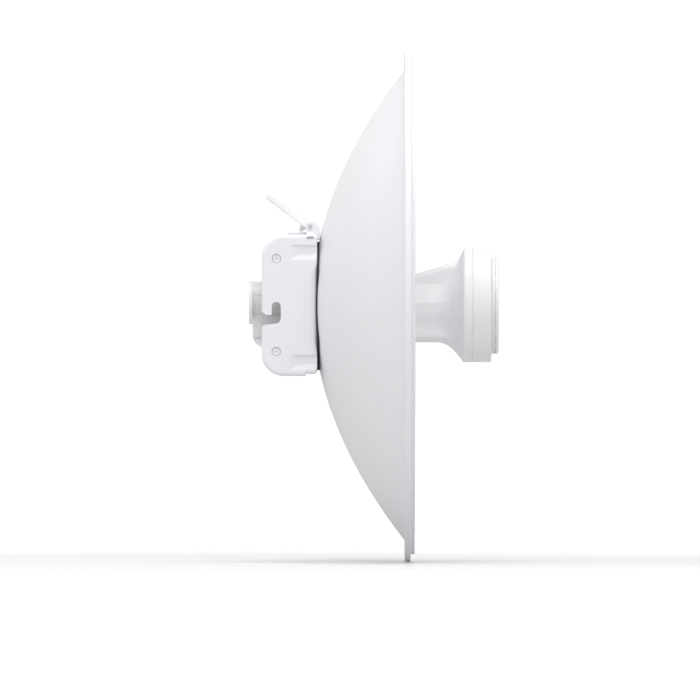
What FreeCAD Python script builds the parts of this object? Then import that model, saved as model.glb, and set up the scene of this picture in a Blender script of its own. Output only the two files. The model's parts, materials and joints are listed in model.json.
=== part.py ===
import FreeCAD, Part
import math
import os
import Sketcher

# An outdoor wireless bridge: a parabolic dish on a moulded rear bracket, with a radio
# and feed unit that slides through the hub and is held by a lever and a lock bolt.
# Millimetres. +X is the way the dish looks, +Y its left side, +Z up. The origin is on the
# dish's axis, in the flat rear face of the bracket.

DIMS = {
    # dish
    "dish_apex": 41.5,
    "focal_length": 123.3,
    "dish_sheet": 1.8,
    "rim_radius": 210,
    "rim_back": 116.9,
    "rim_step": 121.8,
    "rim_front": 125.1,
    "rim_front_radius": 204,
    "rim_sheet": 1.4,
    "rim_round": 0.55,
    "hub_hole_radius": 31,
    "hub_screw_circle": 38,
    "hub_hole": 2.2,
    # rear bracket
    "bracket_depth": 35.7,
    "bracket_half_width": 42,
    "bracket_half_height": 57.8,
    "bracket_corner": 18,
    "bracket_edge": 3,
    "post_radius": 4.4,
    "insert_radius": 2.78,
    "insert_length": 8,
    "recess_chamfer": 0.5,
    "well_half_width": 5.5,
    "wall": 3.5,
    "pad_inner": 34,
    "seat_x": 11.9,
    "seat_z": -1,
    "seat_radius": 3.7,
    "slot_top": -7.8,
    "slot_floor": -15,
    "slot_corner": 4.5,
    "rear_gap_half_width": 31,
    "rear_gap_top": 38,
    "rear_gap_floor": -30,
    "rear_gap_corner": 8,
    "ledge_reach": 7.1,
    "ledge_top": -26.2,
    "ledge_channel": -27,
    "ledge_floor": -34,
    "ledge_half_width": 13,
    "scoop_start": 23,
    "scoop_bend": 30,
    "scoop_shallow": 2,
    "scoop_depth": 2.6,
    "scoop_high": 49.4,
    "scoop_low": 37.2,
    "scoop_lip": 5,
    "scoop_brow": 2,
    "scoop_drop": 3.2,
    "scoop_round": 1.2,
    "boss_back": 21,
    "boss_half_width": 9,
    "boss_top": 59.6,
    "side_screw_x": 12,
    "side_screw_z": 38,
    "recess_radius": 3.6,
    "side_head_radius": 3.25,
    "recess_depth": 2,
    "side_bore": 2.1,
    "nose_recess_floor": 55.4,
    # front plate and gasket
    "plate_front": 45.3,
    "plate_floor": -56.2,
    "plate_edge": 2.6,
    "window_back": 36.6,
    "window_front": 42.6,
    "window_floor": 54.3,
    "window_radius": 1,
    "window_depth": 3.5,
    "seat_gap": 0.8,
    "gasket_gap": 0.25,
    "gasket_half_width": 45.4,
    "gasket_half_height": 53,
    "gasket_radius": 53.4,
    "gasket_z": -1.2,
    # latch
    "pin_x": 39.5,
    "pin_z": 64.45,
    "pin_radius": 1.5,
    "ear_outer": 20,
    "ear_inner": 15.8,
    "ear_bend": 8,
    "lever_angle": 36,
    "lever_half_width": 15.4,
    "lever_half_depth": 3.1,
    "lever_length": 41.7,
    "lever_root_top": 5,
    "lever_tip_radius": 2.5,
    "lever_skin": 0.9,
    "lever_edge": 1.4,
    "bolt_x": 33,
    "bolt_radius": 3.5,
    "bolt_top": 60,
    "bolt_tip": 21,
    "spring_room": 5.8,
    "spring_floor": 34.4,
    "spring_wire_radius": 0.45,
    "collar_floor": 46,
    "collar_top": 48.5,
    # guide core in the bracket
    "core_back": 17,
    "core_web": 31.4,
    "core_front": 35.6,
    "bar_radius": 5.5,
    "bar_half_length": 38.3,
    # feed unit
    "shank_z": 2.3,
    "shank_radius": 17.8,
    "tail_z": 3.6,
    "tail_radius": 16,
    "tail_wall": 2.4,
    "bay_wall": 2,
    "head_wall": 2.6,
    "channel_half_width": 12.5,
    "key_half_width": 11,
    "key_floor": -26.5,
    "tail_back": -5.3,
    "cap_reach": 5.4,
    "cap_round": 1.1,
    "rib_half_width": 13.9,
    "rib_floor": -6.1,
    "rib_top": -5.1,
    "seam_z": 8.4,
    "seam_half": 0.2,
    "seam_reach": 14.9,
    "notch_depth": 5,
    "tail_step": 20,
    "neck_back": 50.3,
    "neck_front": 155.4,
    "neck_edge": 2,
    "neck_half_width": 25,
    "spine_half_width": 17,
    "spine_top": 21.1,
    "spine_chamfer": 3.6,
    "neck_floor": -30.2,
    "flare_start": 136,
    "head_back": 165.6,
    "head_seam": 172.6,
    "head_front": 188,
    "head_radius": 46.5,
    "cap_front": 193.9,
    "cap_radius": 39.65,
    "shelf_back": 184.6,
    "shelf_front": 186.6,
    "shelf_radius": 27.5,
    "seal_back": 190.4,
    "seal_width": 1.2,
    "head_post_radius": 3.2,
    "head_screw_radius": 1.5,
    "guide_gap": 0.3,
    # radio and tail
    "board_floor": -9.6,
    "board_top": -8,
    "can_top": -4.4,
    "fin_width": 1.2,
    "feed_disc_radius": 27,
    "jack_floor": -23.2,
    "bay_top": -12.4,
    "door_top": -15.9,
    "cover_pin_x": -6.6,
    "cover_pin_z": -25,
    "cover_pin_radius": 0.4,
    "cover_pin_length": 20.8,
    "cover_half_width": 8.3,
    "button_z": -1,
    "button_radius": 2.5,
    "light_z": 9,
}

doc = FreeCAD.newDocument("wireless_bridge")
sheet = doc.addObject("Spreadsheet::Sheet", "Dims")
for row, (alias, value) in enumerate(DIMS.items(), start=1):
    sheet.set(f"A{row}", alias)
    sheet.set(f"B{row}", str(value))
    sheet.setAlias(f"B{row}", alias)
doc.recompute()

V = FreeCAD.Vector
ALONG = {
    "X": FreeCAD.Rotation(V(0, 1, 0), 90),
    "Y": FreeCAD.Rotation(V(1, 0, 0), -90),
    "Z": FreeCAD.Rotation(),
}
PARTS = []


def value_of(formula):
    """What a sum such as 'rim_back + 1.4 - rim_sheet' comes to."""
    total, sign = 0.0, 1
    for word in str(formula).split():
        if word in "+-":
            sign = -sign if word == "-" else sign
        else:
            total += sign * float(DIMS.get(word, 0) if word in DIMS else word)
            sign = 1
    return total


def bound(formula):
    """The same sum as an expression on the sheet's cells."""
    return " ".join("Dims." + word if word in DIMS else word for word in str(formula).split())


def minus(formula):
    """The sum with every sign turned over."""
    words = str(formula).split()
    signed = words if words[0] in "+-" else ["+", *words]
    turned = [{"+": "-", "-": "+"}.get(word, word) for word in signed]
    return " ".join(turned[1:] if turned[0] == "+" else turned)


def keep(item, label):
    """Marks an object as a sub-part of the assembly, under its own name."""
    item.Label = label
    PARTS.append(item)
    return item


# --- Part primitives -------------------------------------------------------------------


def place(item, x, y, z, rotation=None):
    item.Placement = FreeCAD.Placement(V(0, 0, 0), rotation or FreeCAD.Rotation())
    for axis, formula in zip("xyz", (x, y, z)):
        item.setExpression(f"Placement.Base.{axis}", bound(formula))
    return item


def box(x, y, z):
    """A block between two formulas on each axis."""
    block = doc.addObject("Part::Box", "block")
    for name, (low, high) in zip(("Length", "Width", "Height"), (x, y, z)):
        block.setExpression(name, f"( {bound(high)} ) - ( {bound(low)} )")
    return place(block, x[0], y[0], z[0])


def rod(axis, start, radius, length):
    """A cylinder that starts at a point and runs along +X, +Y or +Z."""
    bar = doc.addObject("Part::Cylinder", "rod")
    bar.setExpression("Radius", bound(radius))
    bar.setExpression("Height", bound(length))
    return place(bar, *start, rotation=ALONG[axis])


def hexagon(axis, start, radius, length):
    prism = doc.addObject("Part::Prism", "hexagon")
    prism.Polygon = 6
    prism.setExpression("Circumradius", bound(radius))
    prism.setExpression("Height", bound(length))
    return place(prism, *start, rotation=ALONG[axis])


def fuse(*pieces):
    if len(pieces) == 1:
        return pieces[0]
    union = doc.addObject("Part::MultiFuse", "union")
    union.Shapes = list(pieces)
    union.Refine = True
    return union


def cut(base, *tools):
    left = doc.addObject("Part::Cut", "left")
    left.Base = base
    left.Tool = fuse(*tools)
    left.Refine = True
    return left


def common(*pieces):
    both = doc.addObject("Part::MultiCommon", "both")
    both.Shapes = list(pieces)
    return both


def round_edges(base, radius, test):
    """A Part::Fillet on the edges that pass a test."""
    doc.recompute()
    item = doc.addObject("Part::Fillet", "rounded")
    item.Base = base
    numbers = [n for n, edge in enumerate(base.Shape.Edges, start=1) if test(edge)]
    item.Edges = [(n, value_of(radius), value_of(radius)) for n in numbers]
    return item


def group(label, pieces):
    """Identical pieces as separate solids of one node."""
    bunch = doc.addObject("Part::Compound", label)
    bunch.Links = pieces
    return keep(bunch, label)


# --- PartDesign bodies -----------------------------------------------------------------


def new_body(label):
    return keep(doc.addObject("PartDesign::Body", label), label)


def new_sketch(body, role, shift="0"):
    """A sketch on one of the body's own origin planes, moved along the plane's normal."""
    sketch = body.newObject("Sketcher::SketchObject", "sketch")
    plane = next(p for p in body.Origin.OriginFeatures if p.Role == role)
    sketch.AttachmentSupport = [(plane, "")]
    sketch.MapMode = "FlatFace"
    if shift != "0":
        sketch.setExpression("AttachmentOffset.Base.z", bound(shift))
    return sketch


def pin_down(sketch, edge, point, axis, formula):
    """Holds one coordinate of a sketch point at a formula."""
    if str(formula) == "0":
        axis_line = -2 if axis == "X" else -1
        sketch.addConstraint(Sketcher.Constraint("PointOnObject", edge, point, axis_line))
        return
    kind = "Distance" + axis
    number = sketch.addConstraint(Sketcher.Constraint(kind, -1, 1, edge, point, value_of(formula)))
    sketch.setExpression(f"Constraints[{number}]", bound(formula))


def outline(sketch, path):
    """Draws a closed outline. A corner is (x, y), reached by a straight line, or
    (x, y, centre x, centre y, turn), reached by an arc; turn is 1 anticlockwise, -1 clockwise."""
    spots = [V(value_of(corner[0]), value_of(corner[1]), 0) for corner in path]
    starts, ends = [], []
    for index, corner in enumerate(path):
        here, before = spots[index], spots[index - 1]
        if len(corner) == 2:
            edge = sketch.addGeometry(Part.LineSegment(before, here), False)
            starts.append((edge, 1))
            ends.append((edge, 2))
            continue
        centre = V(value_of(corner[2]), value_of(corner[3]), 0)
        first, last = (before, here) if corner[4] > 0 else (here, before)
        angles = [math.atan2(p.y - centre.y, p.x - centre.x) for p in (first, last)]
        if angles[1] < angles[0]:
            angles[1] += 2 * math.pi
        circle = Part.Circle(centre, V(0, 0, 1), (first - centre).Length)
        edge = sketch.addGeometry(Part.ArcOfCircle(circle, *angles), False)
        starts.append((edge, 1 if corner[4] > 0 else 2))
        ends.append((edge, 2 if corner[4] > 0 else 1))
    for index in range(len(path)):
        following = starts[(index + 1) % len(path)]
        sketch.addConstraint(Sketcher.Constraint("Coincident", *ends[index], *following))
    for index, corner in enumerate(path):
        pin_down(sketch, *ends[index], "X", corner[0])
        pin_down(sketch, *ends[index], "Y", corner[1])
        if len(corner) > 2:
            chord = spots[index] - spots[index - 1]
            across = "Y" if abs(chord.x) >= abs(chord.y) else "X"
            pin_down(sketch, ends[index][0], 3, across, corner[3 if across == "Y" else 2])


def disc(sketch, x, y, radius):
    """Draws a circle."""
    centre = V(value_of(x), value_of(y), 0)
    edge = sketch.addGeometry(Part.Circle(centre, V(0, 0, 1), value_of(radius)), False)
    pin_down(sketch, edge, 3, "X", x)
    pin_down(sketch, edge, 3, "Y", y)
    number = sketch.addConstraint(Sketcher.Constraint("Radius", edge, value_of(radius)))
    sketch.setExpression(f"Constraints[{number}]", bound(radius))


def rectangle(sketch, low_x, low_y, high_x, high_y):
    outline(sketch, [(low_x, low_y), (high_x, low_y), (high_x, high_y), (low_x, high_y)])


def extrude(body, kind, sketch, length, both=False, flip=False):
    """A Pad or a Pocket: to one side of its sketch, or shared equally by both sides."""
    feature = body.newObject("PartDesign::" + kind, kind.lower())
    feature.Profile = (sketch, [""])
    feature.SideType = "Symmetric" if both else "One side"
    feature.Reversed = flip
    feature.setExpression("Length", bound(length))
    changed(body, feature, kind == "Pocket")
    return feature


def spin(body, kind, sketch):
    """A Revolution or a Groove about the body's X axis."""
    feature = body.newObject("PartDesign::" + kind, kind.lower())
    feature.Profile = (sketch, [""])
    axis = next(a for a in body.Origin.OriginFeatures if a.Role == "X_Axis")
    feature.ReferenceAxis = (axis, [""])
    feature.Angle = 360
    changed(body, feature, kind == "Groove")
    return feature


def changed(body, feature, removes):
    """Stops the build where a feature adds or removes nothing."""
    doc.recompute()
    base = feature.BaseFeature
    before = base.Shape.Volume if base else 0.0
    after = feature.Shape.Volume
    if (after >= before - 1e-6) if removes else (after <= before + 1e-6):
        raise ValueError(f"{body.Label}: {feature.Name} changes nothing ({before} to {after})")


def mirror(body, features, role):
    """Copies features to the other side of an origin plane."""
    copy = body.newObject("PartDesign::Mirrored", "mirrored")
    copy.Originals = features
    plane = next(p for p in body.Origin.OriginFeatures if p.Role == role)
    copy.MirrorPlane = (plane, [""])
    body.Tip = copy
    doc.recompute()
    return copy


def dress(body, kind, amount, test):
    """A Fillet or a Chamfer on the edges that pass a test."""
    doc.recompute()
    base = body.Tip
    names = [f"Edge{n}" for n, edge in enumerate(base.Shape.Edges, start=1) if test(edge)]
    feature = body.newObject("PartDesign::" + kind, kind.lower())
    feature.Base = (base, names)
    feature.setExpression("Radius" if kind == "Fillet" else "Size", bound(amount))
    doc.recompute()
    if not names or "Invalid" in feature.State or feature.Shape.isNull():
        raise ValueError(f"{body.Label}: {feature.Name} failed on {len(names)} edges")
    return feature


def lies(edge, **limits):
    """Whether an edge's bounding box has these limits, such as XMin=0, XMax=0."""
    return all(abs(getattr(edge.BoundBox, side) - value_of(at)) < 0.02 for side, at in limits.items())


def bare_body(name):
    """A body that another object finishes, so it isn't a sub-part of its own."""
    return doc.addObject("PartDesign::Body", name)


# --- the dish --------------------------------------------------------------------------


def dish_reflector():
    """A pressed parabolic sheet with its rim folded outward and back in two steps."""
    apex, focal = sheet.dish_apex, sheet.focal_length
    inner_apex = apex + sheet.dish_sheet
    hole, lip = sheet.hub_hole_radius, sheet.rim_sheet
    turn = sheet.rim_step - lip

    def wall(vertex, low, high):
        """The stretch of a parabola between two radii, in the XY half-plane."""
        curve = Part.Parabola(V(vertex + focal, 0, 0), V(vertex, 0, 0), V(0, 0, 1))
        return Part.ArcOfParabola(curve, low, high).toBSpline().toShape()

    def radius_at(vertex, x):
        return math.sqrt(4 * focal * (x - vertex))

    back = wall(apex, hole, radius_at(apex, turn))
    face = wall(inner_apex, hole, radius_at(inner_apex, sheet.rim_front))
    outer = sheet.rim_radius
    corners = [
        V(turn, radius_at(apex, turn), 0),
        V(turn, outer - lip, 0),
        V(sheet.rim_back, outer - lip, 0),
        V(sheet.rim_back, outer, 0),
        V(sheet.rim_step, outer, 0),
        V(sheet.rim_step, sheet.rim_front_radius, 0),
        V(sheet.rim_front, sheet.rim_front_radius, 0),
        V(sheet.rim_front, radius_at(inner_apex, sheet.rim_front), 0),
    ]
    rim = [Part.LineSegment(a, b).toShape() for a, b in zip(corners, corners[1:])]
    low_back = V(apex + hole**2 / (4 * focal), hole, 0)
    low_face = V(inner_apex + hole**2 / (4 * focal), hole, 0)
    edges = [back, *rim, face, Part.LineSegment(low_face, low_back).toShape()]
    section = Part.Face(Part.Wire(Part.__sortEdges__(edges)))
    solid = section.revolve(V(0, 0, 0), V(1, 0, 0), 360)
    solid = solid.makeFillet(sheet.rim_round, [e for e in solid.Edges if on_rim(e)])
    for index in range(HUB_SCREWS):
        way = Part.makeCylinder(sheet.hub_hole, 40, V(30, 0, 0), V(1, 0, 0))
        way.translate(hub_screw_place(index))
        solid = solid.cut(way)
    item = doc.addObject("Part::Feature", "dish_reflector")
    item.Shape = solid
    return keep(item, "dish_reflector")


def on_rim(edge):
    """Whether an edge is one of the circles of the folded rim."""
    limits = edge.BoundBox
    return limits.XMax - limits.XMin < 0.01 and limits.YMax > sheet.rim_front_radius - 0.5


HUB_SCREWS = 4


def hub_screw_place(index):
    """The offset of one hub screw from the axis, on the diagonals."""
    angle = math.radians(45 + 90 * index)
    return V(0, sheet.hub_screw_circle * math.cos(angle), sheet.hub_screw_circle * math.sin(angle))


# --- rear bracket ----------------------------------------------------------------------


def hang_slot(sketch):
    """The L-shaped slot: in from the rear face, then up to a half-round seat."""
    right, left = "seat_x + seat_radius", "seat_x - seat_radius"
    outline(sketch, [
        ("-1", "-4.2"),
        ("-1", "slot_floor - 4"),
        ("2.2", "slot_floor - 1"),
        (f"{right} - slot_corner", "slot_floor"),
        (right, "slot_floor + slot_corner", f"{right} - slot_corner", "slot_floor + slot_corner", 1),
        (right, "seat_z"),
        (left, "seat_z", "seat_x", "seat_z", 1),
        (left, "slot_top"),
        ("3.3", "slot_top"),
    ])


def rear_bracket():
    """The moulded housing behind the dish: open at the front and through its rear wall, with
    a hang slot in each side."""
    body = bare_body("bracket")
    side = new_sketch(body, "XZ_Plane")
    rectangle(side, "0", "- bracket_half_height", "bracket_depth", "bracket_half_height")
    extrude(body, "Pad", side, "bracket_half_width + bracket_half_width", both=True)
    dress(body, "Fillet", "bracket_corner", is_rear_corner)
    dress(body, "Fillet", "bracket_edge", is_flank)
    cavity = new_sketch(body, "XZ_Plane")
    outline(cavity, [
        ("wall", "- bracket_half_height + bracket_corner"),
        ("bracket_corner", "- bracket_half_height + wall", "bracket_corner",
         "- bracket_half_height + bracket_corner", 1),
        ("bracket_depth + 1", "- bracket_half_height + wall"),
        ("bracket_depth + 1", "bracket_half_height - wall"),
        ("bracket_corner", "bracket_half_height - wall"),
        ("wall", "bracket_half_height - bracket_corner", "bracket_corner",
         "bracket_half_height - bracket_corner", 1),
    ])
    width = "bracket_half_width - wall + bracket_half_width - wall"
    extrude(body, "Pocket", cavity, width, both=True)
    seat_pads(body)
    screw_posts(body)
    rear_gap(body)
    ledge(body)
    slots = new_sketch(body, "XZ_Plane", "bracket_half_width + 1")
    hang_slot(slots)
    slot = extrude(body, "Pocket", slots, "bracket_half_width + 2 - rear_gap_half_width")
    mirror(body, [slot], "XZ_Plane")
    side_screw_holes(body)
    latch_boss(body)
    keep(cut(body, *finger_scoops()), "rear_bracket")


def is_rear_corner(edge):
    """The long edges at the top and bottom of the rear face."""
    return lies(edge, XMin="0", XMax="0") and edge.BoundBox.YLength > sheet.bracket_half_width


def is_flank(edge):
    """The outer edges of the two side faces, but for those at the open front."""
    limits = edge.BoundBox
    on_side = limits.YLength < 0.01 and abs(abs(limits.YMin) - sheet.bracket_half_width) < 0.01
    return on_side and limits.XMin < sheet.bracket_depth - 0.01


def seat_pads(body):
    """Thicker stretches of the side walls, which lengthen the slots' seats."""
    for side in (1, -1):
        shift = "bracket_half_width - 1" if side > 0 else "- bracket_half_width + 1"
        sketch = new_sketch(body, "XZ_Plane", shift)
        rectangle(sketch, "1", "slot_floor - 5", "seat_x + seat_radius + 5", "seat_z + seat_radius + 5")
        extrude(body, "Pad", sketch, "bracket_half_width - 1 - pad_inner", flip=side > 0)


PLATE_SCREWS = [("35", "48"), ("-35", "48"), ("-35", "-48"), ("35", "-48")]


def screw_posts(body):
    """Four posts from the rear wall, which take the front plate's screws."""
    for y, z in PLATE_SCREWS:
        post = new_sketch(body, "YZ_Plane", "bracket_depth")
        disc(post, y, z, "post_radius")
        extrude(body, "Pad", post, "bracket_depth - 8", flip=True)
        hole = new_sketch(body, "YZ_Plane", "bracket_depth")
        disc(hole, y, z, "insert_radius + 0.02")
        extrude(body, "Pocket", hole, "insert_length + 0.2")


def rear_gap(body):
    """The wide opening in the rear wall, through which the feed unit's tail stands out."""
    half, corner = "rear_gap_half_width", "rear_gap_corner"
    high, low = "rear_gap_top", "rear_gap_floor"
    gap = new_sketch(body, "YZ_Plane", "-1")
    outline(gap, [
        (f"{half} - {corner}", low),
        (half, f"{low} + {corner}", f"{half} - {corner}", f"{low} + {corner}", 1),
        (half, f"{high} - {corner}"),
        (f"{half} - {corner}", high, f"{half} - {corner}", f"{high} - {corner}", 1),
        (f"- {half} + {corner}", high),
        (f"- {half}", f"{high} - {corner}", f"- {half} + {corner}", f"{high} - {corner}", 1),
        (f"- {half}", f"{low} + {corner}"),
        (f"- {half} + {corner}", low, f"- {half} + {corner}", f"{low} + {corner}", 1),
    ])
    extrude(body, "Pocket", gap, "wall + 1.5", flip=True)


def ledge(body):
    """A rounded rain ledge under the feed unit's tail, with a channel that the port bay lies in."""
    sketch = new_sketch(body, "XZ_Plane")
    outline(sketch, [
        ("wall", "ledge_top"),
        ("- ledge_reach", "ledge_top"),
        ("0", "ledge_floor", "2", "ledge_floor + 9.4", 1),
        ("wall", "ledge_floor"),
    ])
    extrude(body, "Pad", sketch, "ledge_half_width + ledge_half_width", both=True)
    channel = new_sketch(body, "YZ_Plane", "- ledge_reach - 1")
    rectangle(channel, "- key_half_width - guide_gap", "ledge_channel", "key_half_width + guide_gap", "0")
    extrude(body, "Pocket", channel, "ledge_reach + wall + 2", flip=True)
    line = new_sketch(body, "XZ_Plane", "ledge_half_width + 1")
    rectangle(line, "- ledge_reach - 1", "ledge_top - 1", "0", "ledge_top - 0.5")
    groove = extrude(body, "Pocket", line, "1.9")
    mirror(body, [groove], "XZ_Plane")


SIDE_SCREW_LEVELS = ("side_screw_z", "- side_screw_z")


def side_screw_holes(body):
    """A recess with a softened rim and a bore for each side screw."""
    cuts = []
    for z in SIDE_SCREW_LEVELS:
        recess = new_sketch(body, "XZ_Plane", "bracket_half_width + 1")
        disc(recess, "side_screw_x", z, "recess_radius")
        cuts.append(extrude(body, "Pocket", recess, "recess_depth + 1"))
        hole = new_sketch(body, "XZ_Plane", "bracket_half_width + 1")
        disc(hole, "side_screw_x", z, "side_bore")
        cuts.append(extrude(body, "Pocket", hole, "wall + 2"))
    mirror(body, cuts, "XZ_Plane")
    dress(body, "Chamfer", "recess_chamfer", is_recess_rim)


def is_recess_rim(edge):
    """The outer circles of the side screws' recesses."""
    limits = edge.BoundBox
    on_side = limits.YLength < 0.01 and abs(abs(limits.YMin) - sheet.bracket_half_width) < 0.01
    return on_side and abs(limits.XLength - 2 * sheet.recess_radius) < 0.05


def latch_boss(body):
    """A low boss on the roof, with the lock bolt's bore and the well for the lever's nose."""
    boss = new_sketch(body, "XY_Plane", "bracket_half_height - 1")
    rectangle(boss, "boss_back", "- boss_half_width", "bracket_depth", "boss_half_width")
    extrude(body, "Pad", boss, "boss_top + 1 - bracket_half_height")
    bore = new_sketch(body, "XY_Plane", "boss_top + 1")
    disc(bore, "bolt_x", "0", "bolt_radius + guide_gap")
    extrude(body, "Pocket", bore, "boss_top - bracket_half_height + wall + 3")
    well = new_sketch(body, "XY_Plane", "boss_top + 1")
    rectangle(well, "bolt_x - 4.6", "- well_half_width", "bracket_depth + 1", "well_half_width")
    extrude(body, "Pocket", well, "boss_top + 1 - nose_recess_floor")


def finger_scoops():
    """Four grip recesses, high and low in both sides: a ramp that deepens towards the dish,
    with an undercut top and a long sloping lower lip."""
    return [finger_scoop(side, level) for side in (1, -1) for level in (1, -1)]


def is_scoop_valley(edge):
    """The edges of a grip recess that lie below the side face."""
    limits = edge.BoundBox
    deep = limits.YMax < sheet.bracket_half_width - 0.2
    return deep and limits.XMin < sheet.plate_front


def finger_scoop(side, level):
    """The space of one grip recess; side and level are 1 or -1."""
    face, front = sheet.bracket_half_width, sheet.plate_front + 3
    ramp = [
        V(sheet.scoop_start, face, 0),
        V(sheet.scoop_bend, face - sheet.scoop_shallow, 0),
        V(front, face - sheet.scoop_depth, 0),
        V(front, face + 1, 0),
        V(sheet.scoop_start, face + 1, 0),
    ]
    low = sheet.scoop_low if level > 0 else -sheet.scoop_high - sheet.scoop_drop
    high = low + sheet.scoop_high - sheet.scoop_low
    section = [
        V(0, face - sheet.scoop_depth, low + sheet.scoop_lip),
        V(0, face, low),
        V(0, face + 1, low),
        V(0, face + 1, high),
        V(0, face, high),
        V(0, face - sheet.scoop_depth, high - sheet.scoop_brow),
    ]
    deepening = Part.Face(Part.makePolygon([*ramp, ramp[0]])).extrude(V(0, 0, high - low))
    deepening.translate(V(0, 0, low))
    trough = Part.Face(Part.makePolygon([*section, section[0]])).extrude(V(front, 0, 0))
    space = deepening.common(trough)
    space = space.makeFillet(sheet.scoop_round, [e for e in space.Edges if is_scoop_valley(e)])
    item = doc.addObject("Part::Feature", "scoop")
    item.Shape = space if side > 0 else space.mirror(V(0, 0, 0), V(0, 1, 0))
    return item


# --- front plate, gasket and hub flange ------------------------------------------------


def dish_ball(lift):
    """A ball whose rear follows the back of the dish, this far behind it."""
    ball = doc.addObject("Part::Sphere", "ball")
    ball.setExpression("Radius", bound("focal_length + focal_length"))
    return place(ball, f"dish_apex + focal_length + focal_length - ( {lift} )", "0", "0")


def front_plate():
    """Closes the bracket and carries the dish; two ears on its top edge hold the latch pin."""
    body = bare_body("plate")
    face = new_sketch(body, "YZ_Plane", "bracket_depth")
    rectangle(face, "- bracket_half_width", "plate_floor", "bracket_half_width", "bracket_half_height")
    extrude(body, "Pad", face, "plate_front - bracket_depth")
    dress(body, "Fillet", "bracket_edge", lambda e: e.BoundBox.XLength > 5)
    dress(body, "Fillet", "plate_edge", lambda e: lies(e, XMin="plate_front", ZMax="plate_floor"))
    latch_ears(body)
    side_windows(body)
    hole = new_sketch(body, "YZ_Plane", "bracket_depth - 1")
    disc(hole, "0", "0", "hub_hole_radius")
    extrude(body, "Pocket", hole, "20", flip=True)
    for y, z in PLATE_SCREWS:
        shank = new_sketch(body, "YZ_Plane", "bracket_depth - 1")
        disc(shank, y, z, "1.7")
        extrude(body, "Pocket", shank, "20", flip=True)
        head = new_sketch(body, "YZ_Plane", "plate_front - 2.8")
        disc(head, y, z, "3.1")
        extrude(body, "Pocket", head, "10", flip=True)
    well = new_sketch(body, "XY_Plane", "bracket_half_height + 1")
    rectangle(well, "bracket_depth - 1", "- well_half_width", "bracket_depth + 4", "well_half_width")
    extrude(body, "Pocket", well, "bracket_half_height + 1 - nose_recess_floor")
    holes = [hub_rod("30", "hub_hole", "30", index) for index in range(HUB_SCREWS)]
    spring_way = rod("Z", ("bolt_x", "0", "20"), "spring_room", "nose_recess_floor - 20")
    keep(cut(body, dish_ball("seat_gap"), spring_way, *holes, *finger_scoops()), "front_plate")


def latch_ears(body):
    """Two rounded ears that bend up from the plate's top edge and carry the lever's pin."""
    ears = new_sketch(body, "XZ_Plane")
    bend_x, bend_z = "pin_x + 0.4", "pin_z - 4.05"
    outline(ears, [
        ("43", "54"),
        ("47.2", "54"),
        (f"{bend_x} + ear_bend", bend_z),
        (bend_x, f"{bend_z} + ear_bend", bend_x, bend_z, 1),
        ("pin_x - 2.3", "pin_z - 3.25", "pin_x", "pin_z", 1),
        ("41", "pin_z - 3.8"),
        ("43", "57.6"),
    ])
    extrude(body, "Pad", ears, "ear_outer + ear_outer", both=True)
    between = new_sketch(body, "XZ_Plane")
    rectangle(between, "pin_x - 8", "bracket_half_height + 0.2", "pin_x + 12", "pin_z + 8")
    extrude(body, "Pocket", between, "ear_inner + ear_inner", both=True)
    bore = new_sketch(body, "XZ_Plane")
    disc(bore, "pin_x", "pin_z", "pin_radius")
    extrude(body, "Pocket", bore, "ear_outer + ear_outer + 2", both=True)


def side_windows(body):
    """A slim slot with round ends in each side of the plate's top."""
    window = new_sketch(body, "XZ_Plane", "bracket_half_width + 1")
    middle = "window_floor + window_radius"
    front, back = "window_front - window_radius", "window_back + window_radius"
    outline(window, [
        (front, "window_floor"),
        (front, "window_floor + window_radius + window_radius", front, middle, 1),
        (back, "window_floor + window_radius + window_radius"),
        (back, "window_floor", back, middle, 1),
    ])
    slot = extrude(body, "Pocket", window, "window_depth + 1")
    mirror(body, [slot], "XZ_Plane")


def hub_rod(start, radius, length, index):
    """A cylinder along +X on one of the four hub screws' lines."""
    offset = hub_screw_place(index)
    return rod("X", (start, str(offset.y), str(offset.z)), radius, length)


def rounded_prism(x, half_width, half_height, radius):
    """A rounded rectangle on the YZ plane, between two places along X."""
    inner = f"{half_width} - {radius}"
    low = f"- {half_width} + {radius}"
    tall = f"{half_height} - {radius}"
    deep = f"- {half_height} + {radius}"
    wide = box(x, (f"- {half_width}", half_width), (deep, tall))
    high = box(x, (low, inner), (f"- {half_height}", half_height))
    length = f"{x[1]} - {x[0]}"
    posts = [rod("X", (x[0], y, z), radius, length) for y in (low, inner) for z in (deep, tall)]
    return fuse(wide, high, *posts)


def dish_gasket():
    """The rubber seat between the plate and the dish, which it follows: a round pad that is
    flat on four sides."""
    wide = ("- gasket_half_width", "gasket_half_width")
    tall = ("- gasket_half_height", "gasket_half_height")
    pad = common(rod("X", ("38", "0", "gasket_z"), "gasket_radius", "18"), box(("38", "56"), wide, tall))
    plate_room = cut(
        box(("30", "plate_front + 0.02"), ("-60", "60"), ("-70", "70")),
        dish_ball("seat_gap - 0.02"),
    )
    holes = [hub_rod("30", "2.3", "30", index) for index in range(HUB_SCREWS)]
    middle = rod("X", ("30", "0", "0"), "hub_hole_radius + 0.5", "40")
    keep(cut(pad, dish_ball("gasket_gap"), plate_room, middle, *holes), "dish_gasket")


def hub_flange():
    """The collar in the bowl that the feed unit seats against."""
    disc_part = rod("X", ("dish_apex", "0", "0"), "46", "neck_back - 0.2 - dish_apex")
    bowl = doc.addObject("Part::Sphere", "bowl")
    bowl.setExpression("Radius", bound("focal_length + focal_length"))
    place(bowl, "dish_apex + dish_sheet + focal_length + focal_length + 0.1", "0", "0")
    holes = [hub_rod("30", "hub_hole", "30", index) for index in range(HUB_SCREWS)]
    keep(cut(common(disc_part, bowl), *key_tools("30", "30", "guide_gap"), *holes), "hub_flange")


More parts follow.
